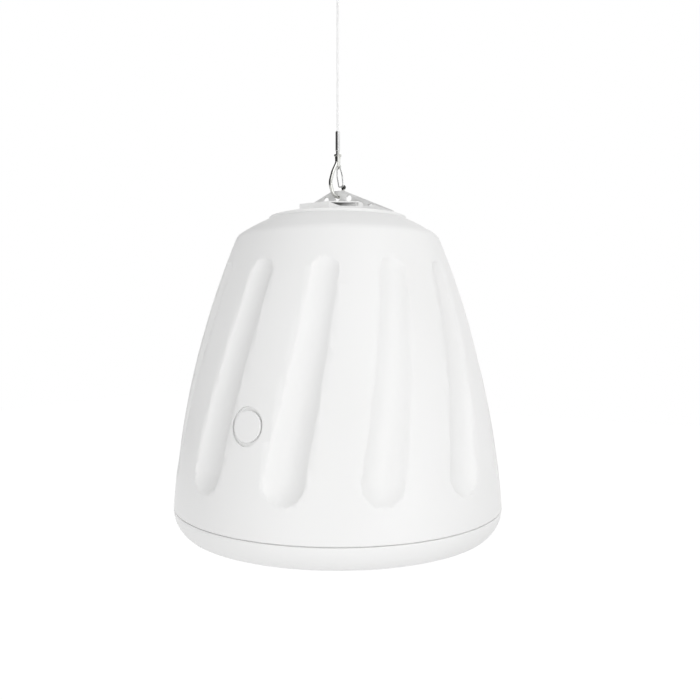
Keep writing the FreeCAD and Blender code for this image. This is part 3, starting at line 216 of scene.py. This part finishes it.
def grain_group():
    """Fine texture of a moulded or coated skin: a normal, and two masks for tone and gloss."""
    tree, entry, out = group("skin_grain", [("Scale", 400.0), ("Depth", 0.1), ("Patch", 6.0)], [
        ("Tone", "NodeSocketFloat"), ("Gloss", "NodeSocketFloat"), ("Normal", "NodeSocketVector")])
    link = tree.links.new
    place = node(tree, "ShaderNodeTexCoord")
    fine = node(tree, "ShaderNodeTexNoise")
    fine.inputs["Detail"].default_value = 3.0
    broad = node(tree, "ShaderNodeTexNoise")
    broad.inputs["Detail"].default_value = 2.0
    bump = node(tree, "ShaderNodeBump")
    bump.inputs["Distance"].default_value = 0.0004
    link(place.outputs["Object"], fine.inputs["Vector"])
    link(place.outputs["Object"], broad.inputs["Vector"])
    link(entry.outputs["Scale"], fine.inputs["Scale"])
    link(entry.outputs["Patch"], broad.inputs["Scale"])
    link(fine.outputs["Fac"], bump.inputs["Height"])
    link(entry.outputs["Depth"], bump.inputs["Strength"])
    link(broad.outputs["Fac"], out.inputs["Tone"])
    link(fine.outputs["Fac"], out.inputs["Gloss"])
    link(bump.outputs["Normal"], out.inputs["Normal"])
    return tree


def brush_group():
    """Drawn or rolled metal: fine lines along one direction, with a soft cloud of tone."""
    tree, entry, out = group("drawn_lines", [("Scale", 60.0), ("Stretch", 40.0), ("Depth", 0.1)], [
        ("Tone", "NodeSocketFloat"), ("Gloss", "NodeSocketFloat"), ("Normal", "NodeSocketVector")])
    link = tree.links.new
    place = node(tree, "ShaderNodeTexCoord")
    split = node(tree, "ShaderNodeSeparateXYZ")
    join = node(tree, "ShaderNodeCombineXYZ")
    squeeze = node(tree, "ShaderNodeMath", operation="DIVIDE")
    lines = node(tree, "ShaderNodeTexNoise")
    lines.inputs["Detail"].default_value = 4.0
    cloud = node(tree, "ShaderNodeTexNoise")
    cloud.inputs["Scale"].default_value = 55.0
    bump = node(tree, "ShaderNodeBump")
    bump.inputs["Distance"].default_value = 0.0002
    link(place.outputs["Object"], split.inputs["Vector"])
    link(split.outputs["X"], squeeze.inputs[0])
    link(entry.outputs["Stretch"], squeeze.inputs[1])
    link(squeeze.outputs["Value"], join.inputs["X"])
    link(split.outputs["Y"], join.inputs["Y"])
    link(split.outputs["Z"], join.inputs["Z"])
    link(join.outputs["Vector"], lines.inputs["Vector"])
    link(place.outputs["Object"], cloud.inputs["Vector"])
    link(entry.outputs["Scale"], lines.inputs["Scale"])
    link(lines.outputs["Fac"], bump.inputs["Height"])
    link(entry.outputs["Depth"], bump.inputs["Strength"])
    link(cloud.outputs["Fac"], out.inputs["Tone"])
    link(lines.outputs["Fac"], out.inputs["Gloss"])
    link(bump.outputs["Normal"], out.inputs["Normal"])
    return tree


GRAIN = grain_group()
DRAWN = brush_group()


def finish(name, dark, light, roughness, tree=GRAIN, metal=0.0, coat=0.0, **values):
    """A material whose colour runs from dark to light with the tone mask, and its gloss with the other."""
    material = bpy.data.materials.new(name)
    material.use_nodes = True
    net = material.node_tree
    link = net.links.new
    shader = net.nodes["Principled BSDF"]
    skin = node(net, "ShaderNodeGroup", node_tree=tree)
    for label, value in values.items():
        skin.inputs[label.capitalize()].default_value = value
    tint = node(net, "ShaderNodeValToRGB")
    tint.color_ramp.elements[0].position = TONE_FROM
    tint.color_ramp.elements[0].color = (*dark, 1.0)
    tint.color_ramp.elements[1].position = TONE_TO
    tint.color_ramp.elements[1].color = (*light, 1.0)
    gloss = node(net, "ShaderNodeMapRange")
    gloss.inputs["To Min"].default_value = roughness[0]
    gloss.inputs["To Max"].default_value = roughness[1]
    link(skin.outputs["Tone"], tint.inputs["Fac"])
    link(tint.outputs["Color"], shader.inputs["Base Color"])
    link(skin.outputs["Gloss"], gloss.inputs["Value"])
    link(gloss.outputs["Result"], shader.inputs["Roughness"])
    link(skin.outputs["Normal"], shader.inputs["Normal"])
    shader.inputs["Metallic"].default_value = metal
    shader.inputs["Coat Weight"].default_value = coat
    return material


def paint_dark_reflection(material, centre, inner, outer, rest):
    """Darkens a material's colour within a small ball: a painted dark reflection, not a colour of the metal
    itself.
    """
    net = material.node_tree
    shader = net.nodes["Principled BSDF"]
    colour = shader.inputs["Base Color"].links[0].from_socket
    place = node(net, "ShaderNodeTexCoord")
    away = node(net, "ShaderNodeVectorMath", operation="DISTANCE")
    away.inputs[1].default_value = centre
    fade = node(net, "ShaderNodeMapRange", interpolation_type="SMOOTHSTEP")
    for label, value in (("From Min", inner), ("From Max", outer), ("To Min", rest), ("To Max", 1.0)):
        fade.inputs[label].default_value = value
    dim = node(net, "ShaderNodeVectorMath", operation="SCALE")
    net.links.new(place.outputs["Object"], away.inputs[0])
    net.links.new(away.outputs["Value"], fade.inputs["Value"])
    net.links.new(colour, dim.inputs[0])
    net.links.new(fade.outputs["Result"], dim.inputs["Scale"])
    net.links.new(dim.outputs["Vector"], shader.inputs["Base Color"])


def plain(rgb, spread=0.04):
    """Two tones round a colour."""
    return [max(0.0, c * (1 - spread)) for c in rgb], [min(1.0, c * (1 + spread)) for c in rgb]


white_moulding = finish("satin_white_moulding", (0.85, 0.85, 0.845), (0.87, 0.87, 0.868), (0.38, 0.50),
                        scale=1400.0, depth=0.10, patch=5.0)
plug_white = finish("smooth_white_plug", (0.85, 0.85, 0.845), (0.87, 0.87, 0.87), (0.30, 0.38),
                    scale=1600.0, depth=0.05, patch=20.0)
grille_coat = finish("white_powder_coat", (0.78, 0.78, 0.77), (0.81, 0.81, 0.80), (0.45, 0.60),
                     scale=1800.0, depth=0.25, patch=12.0)
sheet_zinc = finish("zinc_plated_sheet", (0.74, 0.74, 0.735), (0.82, 0.82, 0.815), (0.50, 0.64), tree=DRAWN,
                    metal=0.25, scale=240.0, stretch=30.0, depth=0.12)
bright_zinc = finish("bright_zinc_bar", (0.60, 0.60, 0.57), (0.74, 0.74, 0.72), (0.16, 0.28),
                     metal=1.0, scale=900.0, depth=0.10, patch=160.0)
# Painted dark reflection on the ball of the hook's nose
paint_dark_reflection(bright_zinc, NOSE_CENTRE, NOSE_DARK_TO, NOSE_BRIGHT_FROM, NOSE_REFLECTION_TONE)
spring_wire = finish("bright_spring_wire", (0.56, 0.56, 0.56), (0.68, 0.68, 0.68), (0.18, 0.30), tree=DRAWN,
                     metal=1.0, scale=900.0, stretch=20.0, depth=0.08)
rope_wire = finish("stranded_wire", (0.89, 0.89, 0.89), (0.95, 0.95, 0.95), (0.40, 0.55),
                   metal=0.05, scale=2600.0, depth=0.20, patch=220.0)
pressed_sleeve = finish("pressed_aluminium_sleeve", (0.62, 0.62, 0.62), (0.74, 0.74, 0.74), (0.28, 0.42),
                        tree=DRAWN, metal=1.0, scale=500.0, stretch=8.0, depth=0.15)
forged_zinc = finish("forged_zinc_eye", (0.48, 0.48, 0.48), (0.60, 0.60, 0.60), (0.32, 0.46),
                     metal=1.0, scale=700.0, depth=0.25, patch=120.0)
seam_foam = finish("pale_foam_strip", (0.74, 0.74, 0.74), (0.80, 0.80, 0.80), (0.62, 0.78),
                   scale=1500.0, depth=0.30, patch=60.0)
SLOT_FINISHES = {
    "white_moulding": white_moulding,
    "plug_plastic": plug_white,
    "grille_paint": grille_coat,
    "bracket_steel": sheet_zinc,
    "hook_steel": bright_zinc,
    "gate_wire": spring_wire,
    "rope_steel": rope_wire,
    "sleeve_metal": pressed_sleeve,
    "eye_steel": forged_zinc,
    "fixing_steel": finish("zinc_plated_screw", *plain((0.62, 0.62, 0.61), 0.08), (0.22, 0.36), metal=1.0,
                           scale=1200.0, depth=0.15, patch=300.0),
    "seal_rubber": finish("black_seal_rubber", *plain((0.035, 0.035, 0.036), 0.2), (0.62, 0.78),
                          scale=1500.0, depth=0.30, patch=60.0),
    "baffle_board": finish("raw_dense_board", *plain((0.42, 0.30, 0.19), 0.15), (0.70, 0.85),
                           scale=700.0, depth=0.35, patch=90.0),
    "black_plastic": finish("grained_black_plastic", *plain((0.028, 0.028, 0.030), 0.15), (0.42, 0.58),
                            scale=1300.0, depth=0.30, patch=40.0),
    "green_plastic": finish("green_connector_plastic", *plain((0.03, 0.26, 0.09), 0.08), (0.34, 0.46),
                            scale=900.0, depth=0.08, patch=60.0),
    "board_laminate": finish("lacquered_laminate", *plain((0.05, 0.20, 0.07), 0.15), (0.26, 0.40), coat=0.4,
                             scale=600.0, depth=0.15, patch=80.0),
    "cone_pulp": finish("pressed_pulp", *plain((0.05, 0.05, 0.05), 0.3), (0.75, 0.90),
                        scale=420.0, depth=0.60, patch=140.0),
    "spider_cloth": finish("stiffened_cloth", *plain((0.52, 0.40, 0.18), 0.12), (0.72, 0.88),
                           scale=1500.0, depth=0.50, patch=120.0),
    "basket_metal": finish("cast_basket", *plain((0.50, 0.51, 0.52), 0.08), (0.40, 0.56), metal=1.0,
                           scale=500.0, depth=0.30, patch=60.0),
    "motor_steel": finish("turned_plated_steel", *plain((0.50, 0.50, 0.50), 0.08), (0.26, 0.40), tree=DRAWN,
                          metal=1.0, scale=700.0, stretch=6.0, depth=0.20),
    "ferrite": finish("sintered_ferrite", *plain((0.045, 0.045, 0.048), 0.2), (0.60, 0.75),
                      scale=900.0, depth=0.40, patch=80.0),
    "copper_wire": finish("enamelled_windings", *plain((0.52, 0.22, 0.08), 0.15), (0.25, 0.42), tree=DRAWN,
                          metal=0.7, scale=1500.0, stretch=30.0, depth=0.60),
    "core_steel": finish("stacked_core_sheets", *plain((0.22, 0.22, 0.23), 0.2), (0.45, 0.62), tree=DRAWN,
                         metal=0.8, scale=1600.0, stretch=60.0, depth=0.80),
    "film_capacitor": finish("wrapped_film", *plain((0.62, 0.46, 0.10), 0.06), (0.22, 0.34),
                             scale=700.0, depth=0.10, patch=70.0),
    "ceramic": finish("cement_resistor", *plain((0.72, 0.70, 0.64), 0.05), (0.75, 0.90),
                      scale=1100.0, depth=0.40, patch=120.0),
    "lead_sleeve": finish("lead_sleeving", *plain((0.07, 0.07, 0.075), 0.15), (0.42, 0.58), tree=DRAWN,
                          scale=1200.0, stretch=10.0, depth=0.25),
}
OWN_FINISHES = {"bezel_gasket": seam_foam}
SLOT_OF = {entry["node"]: entry["material_slot"] for entry in frame["record"]["subparts"]}


def dress(piece, material):
    piece.data.materials.clear()
    piece.data.materials.append(material)


def dress_nodes():
    """Every CAD node takes the finish of its slot."""
    for name, piece in nodes.items():
        finish_of = SLOT_FINISHES[SLOT_OF[name]]
        for material_slot in piece.material_slots:
            material_slot.material = finish_of
        if not piece.material_slots:
            piece.data.materials.append(finish_of)


def body_of(name):
    return nodes[name]["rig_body"]


# Pieces

def smooth_skins():
    """Shown curved pieces, shaded as the smooth skins that they are."""
    for name, angle in (("enclosure_shell", 60), ("bottom_bezel", 24), ("top_cap", 24), ("badge_plug", 30),
                        ("snap_hook", 40), ("hook_gate", 40), ("swage_sleeve", 40), ("ceiling_eye", 32),
                        ("port_tubes", 30), ("tap_knob", 30), ("woofer_cone", 30), ("woofer_surround", 40),
                        ("bezel_gasket", 30)):
        bm = joined(name)
        if name == "badge_plug":
            round_over(bm, PLUG_ROUND, 3, clamp_overlap=True)
        shade(bm, angle)
        piece = keep(bm, name + "_skin", body_of(name), SLOT_OF[name], name)
        dress(piece, OWN_FINISHES.get(name, SLOT_FINISHES[SLOT_OF[name]]))
        if name == "enclosure_shell":
            even = piece.modifiers.new("even_shading", "WEIGHTED_NORMAL")
            even.mode = "FACE_AREA"
            even.keep_sharp = True


def pressed_plate():
    """The bracket, with the small round-over that stamping leaves along its cut edges."""
    bm = joined("hanging_bracket")
    round_over(bm, CUT_EDGE_ROUND, 2)
    shade(bm, 28)
    piece = keep(bm, "pressed_bracket", body_of("hanging_bracket"), "bracket_steel", "hanging_bracket")
    dress(piece, sheet_zinc)


def strand_route():
    """The rope's own line, read from its spline."""
    curve = bpy.data.curves.new("rope_route", "CURVE")
    curve.dimensions = "3D"
    spline = curve.splines.new("NURBS")
    spline.points.add(len(ROPE_POINTS) - 1)
    for point, place in zip(spline.points, ROPE_POINTS):
        point.co = (*place, 1.0)
    spline.order_u = 3
    spline.use_endpoint_u = True
    route = bpy.data.objects.new("rope_route", curve)
    line = bpy.data.meshes.new_from_object(route)
    path = [v.co.copy() for v in line.vertices]
    bpy.data.objects.remove(route)
    bpy.data.curves.remove(curve)
    bpy.data.meshes.remove(line)
    return path


def wire_rope():
    """Six strands laid round each other, as one lobed section swept along the rope with a twist."""
    path = strand_route()
    low, high = path[0], path[-1]
    bm = bmesh.new()
    ring = bmesh.ops.create_circle(bm, cap_ends=False, segments=ROPE_STRANDS * POINTS_PER_STRAND,
                                   radius=ROPE_DIAMETER / 2)
    for vert in ring["verts"]:
        around = math.atan2(vert.co.y, vert.co.x) * ROPE_STRANDS / 2
        vert.co *= 1 - STRAND_GROOVE + STRAND_GROOVE * abs(math.cos(around)) ** 0.8
    bmesh.ops.translate(bm, vec=low, verts=bm.verts)
    turns = (high - low).length / STRAND_LAY
    steps = int(turns * STEPS_PER_TURN)
    edges = list(bm.edges)
    start = bmesh.ops.contextual_create(bm, geom=edges)["faces"]
    bmesh.ops.spin(bm, geom=start + edges, cent=low, axis=(0, 0, 1), dvec=(high - low) / steps,
                   angle=turns * TURN, steps=steps)
    bmesh.ops.remove_doubles(bm, verts=bm.verts, dist=1e-7)
    bmesh.ops.recalc_face_normals(bm, faces=bm.faces)
    shade(bm, 60)
    rope = keep(bm, "wire_rope", "hanger", "rope_steel", "suspension_rope")
    dress(rope, rope_wire)


def perforated_grille():
    """Steel disc with close round-cornered holes, and a plain rim under the ring's lip."""
    cell = HOLE_PITCH / math.sqrt(3)
    row_step = HOLE_PITCH * math.sqrt(0.75)
    count = int(GRILLE_FIELD / HOLE_PITCH) + 1
    row = bmesh.new()
    for i in range(-count, count + 1):
        spot = Matrix.Translation((i * HOLE_PITCH, 0, 0)) @ Matrix.Rotation(math.radians(30), 4, "Z")
        bmesh.ops.create_circle(row, cap_ends=True, segments=6, radius=cell, matrix=spot)
    row_mesh = bpy.data.meshes.new("grille_row")
    row.to_mesh(row_mesh)
    row.free()
    bm = bmesh.new()
    rows = int(GRILLE_FIELD / row_step) + 1
    for j in range(-rows, rows + 1):
        offset = Matrix.Translation(((j % 2) * HOLE_PITCH / 2, j * row_step, 0))
        row_mesh.transform(offset)
        bm.from_mesh(row_mesh)
        row_mesh.transform(offset.inverted())
    bpy.data.meshes.remove(row_mesh)
    far = [f for f in bm.faces if f.calc_center_median().length > GRILLE_FIELD]
    bmesh.ops.delete(bm, geom=far, context="FACES")
    bmesh.ops.remove_doubles(bm, verts=bm.verts, dist=1e-5)
    inset = bmesh.ops.inset_individual(bm, faces=bm.faces, thickness=HOLE_WEB)
    walls = set(inset["faces"])
    bmesh.ops.delete(bm, geom=[f for f in bm.faces if f not in walls], context="FACES_ONLY")
    bmesh.ops.solidify(bm, geom=bm.faces[:], thickness=GRILLE_SHEET)
    move(bm, z=GRILLE_TOP - max(v.co.z for v in bm.verts))
    bmesh.ops.recalc_face_normals(bm, faces=bm.faces)
    grille = keep(bm, "perforated_field", "speaker", "grille_paint", "grille")
    dress(grille, grille_coat)
    top = GRILLE_TOP + RIM_PROUD
    low = top - GRILLE_SHEET - 2 * RIM_PROUD
    inner, outer = GRILLE_RIM_INNER, GRILLE_RADIUS
    rim = lathe([(inner, low), (outer, low), (outer, top), (inner, top)], 160)
    shade(rim, 30)
    dress(keep(rim, "grille_rim", "speaker", "grille_paint"), grille_coat)


# Light, floor and camera

def soft_box(name, aside, height, power):
    """A soft box that looks at the bell. Those at the left aren't mirrored, so the dark flag stays whole."""
    lamp = bpy.data.lights.new(name, "AREA")
    lamp.shape = "SQUARE"
    lamp.size = BOX_WIDTH
    lamp.energy = power
    azimuth = CAMERA_AZIMUTH + math.radians(aside)
    place = Vector((BOX_DISTANCE * math.sin(azimuth), -BOX_DISTANCE * math.cos(azimuth), height))
    stand = bpy.data.objects.new(name, lamp)
    stand.location = place
    stand.visible_glossy = aside > 0
    stand.rotation_euler = (Vector((0, 0, BOX_AIM)) - place).to_track_quat("-Z", "Y").to_euler()
    bpy.context.scene.collection.objects.link(stand)


def either(net, *sockets):
    """1 where any of the ray kinds holds."""
    first, *others = sockets
    for other in others:
        both = node(net, "ShaderNodeMath", operation="MAXIMUM")
        net.links.new(first, both.inputs[0])
        net.links.new(other, both.inputs[1])
        first = both.outputs["Value"]
    return first


def mixed(net, share, first, second):
    mix = node(net, "ShaderNodeMixShader")
    net.links.new(share, mix.inputs["Fac"])
    net.links.new(first, mix.inputs[1])
    net.links.new(second, mix.inputs[2])
    return mix.outputs["Shader"]


def white_floor(net, lit, out):
    """White to the camera and in reflections, with a little of the lit floor and its shadow kept."""
    path = node(net, "ShaderNodeLightPath")
    part = node(net, "ShaderNodeMath", operation="MULTIPLY")
    part.inputs[1].default_value = FLOOR_WHITE
    white = node(net, "ShaderNodeEmission")
    white.inputs["Strength"].default_value = FLOOR_GLOW
    kinds = [path.outputs["Is " + kind + " Ray"] for kind in ("Camera", "Glossy", "Transmission")]
    net.links.new(either(net, *kinds), part.inputs[0])
    net.links.new(mixed(net, part.outputs["Value"], lit, white.outputs["Emission"]), out)


def facing_fade(net, place, azimuth, fade_over, near):
    """Goes from 1 to near as a direction turns towards an azimuth, counted from the camera's to its right."""
    a = CAMERA_AZIMUTH + azimuth
    facing = node(net, "ShaderNodeVectorMath", operation="DOT_PRODUCT")
    facing.inputs[1].default_value = (math.sin(a), -math.cos(a), 0.0)
    fade = node(net, "ShaderNodeMapRange", interpolation_type="SMOOTHSTEP")
    start, end = fade_over
    for label, value in (("From Min", start), ("From Max", end), ("To Min", 1.0), ("To Max", near)):
        fade.inputs[label].default_value = value
    net.links.new(place.outputs["Generated"], facing.inputs[0])
    net.links.new(facing.outputs["Value"], fade.inputs["Value"])
    return fade.outputs["Result"]


def pale_room(net):
    """An even light. The background is white, and gloss mirrors a dim front and a dark flag at the left."""
    sky = net.nodes["Background"]
    sky.inputs["Color"].default_value = (1.0, 1.0, 1.0, 1.0)
    sky.inputs["Strength"].default_value = ROOM_LIGHT
    place = node(net, "ShaderNodeTexCoord")
    front = facing_fade(net, place, 0.0, FRONT_FADE, FRONT_MIRRORED)
    flag = facing_fade(net, place, FLAG_AZIMUTH, FLAG_FADE, FLAG_MIRRORED)
    both = node(net, "ShaderNodeMath", operation="MULTIPLY")
    net.links.new(front, both.inputs[0])
    net.links.new(flag, both.inputs[1])
    mirrored = node(net, "ShaderNodeBackground")
    white = node(net, "ShaderNodeBackground")
    white.inputs["Color"].default_value = (1.0, 1.0, 1.0, 1.0)
    path = node(net, "ShaderNodeLightPath")
    net.links.new(both.outputs["Value"], mirrored.inputs["Color"])
    glossy = path.outputs["Is Glossy Ray"]
    shown = mixed(net, glossy, sky.outputs["Background"], mirrored.outputs["Background"])
    seen = either(net, path.outputs["Is Camera Ray"], path.outputs["Is Transmission Ray"])
    surface = net.nodes["World Output"].inputs["Surface"]
    net.links.new(mixed(net, seen, shown, white.outputs["Background"]), surface)


def studio():
    """White room, a pale floor far below, and soft boxes all round."""
    scene = bpy.context.scene
    world = bpy.data.worlds.new("pale_room")
    world.use_nodes = True
    scene.world = world
    pale_room(world.node_tree)
    bm = bmesh.new()
    bmesh.ops.create_grid(bm, x_segments=1, y_segments=1, size=FLOOR_HALF)
    move(bm, z=FLOOR_HEIGHT)
    mesh = bpy.data.meshes.new("studio_floor")
    bm.to_mesh(mesh)
    bm.free()
    floor = bpy.data.objects.new("studio_floor", mesh)
    scene.collection.objects.link(floor)
    paint = bpy.data.materials.new("pale_floor")
    paint.use_nodes = True
    net = paint.node_tree
    shader = net.nodes["Principled BSDF"]
    shader.inputs["Base Color"].default_value = (FLOOR_TONE, FLOOR_TONE, FLOOR_TONE, 1.0)
    shader.inputs["Roughness"].default_value = FLOOR_ROUGHNESS
    white_floor(net, shader.outputs["BSDF"], net.nodes["Material Output"].inputs["Surface"])
    mesh.materials.append(paint)
    for name, aside, height, power in SOFT_BOXES:
        soft_box(name, aside, height, power)


def photograph_camera():
    scene = bpy.context.scene
    data = bpy.data.cameras.new("photograph_view")
    data.sensor_width = 36.0
    data.lens = CAMERA_LENS
    data.shift_x = CAMERA_SHIFT
    data.clip_end = 100.0
    camera = bpy.data.objects.new("photograph_view", data)
    camera.location = (CAMERA_DISTANCE * math.sin(CAMERA_AZIMUTH),
                       -CAMERA_DISTANCE * math.cos(CAMERA_AZIMUTH), CAMERA_HEIGHT)
    camera.rotation_euler = (math.pi / 2 - CAMERA_PITCH, 0, CAMERA_AZIMUTH)
    scene.collection.objects.link(camera)
    scene.camera = camera
    scene.view_settings.view_transform = "Standard"


photograph_camera()
dress_nodes()
smooth_skins()
wire_rope()
pressed_plate()
perforated_grille()
studio()
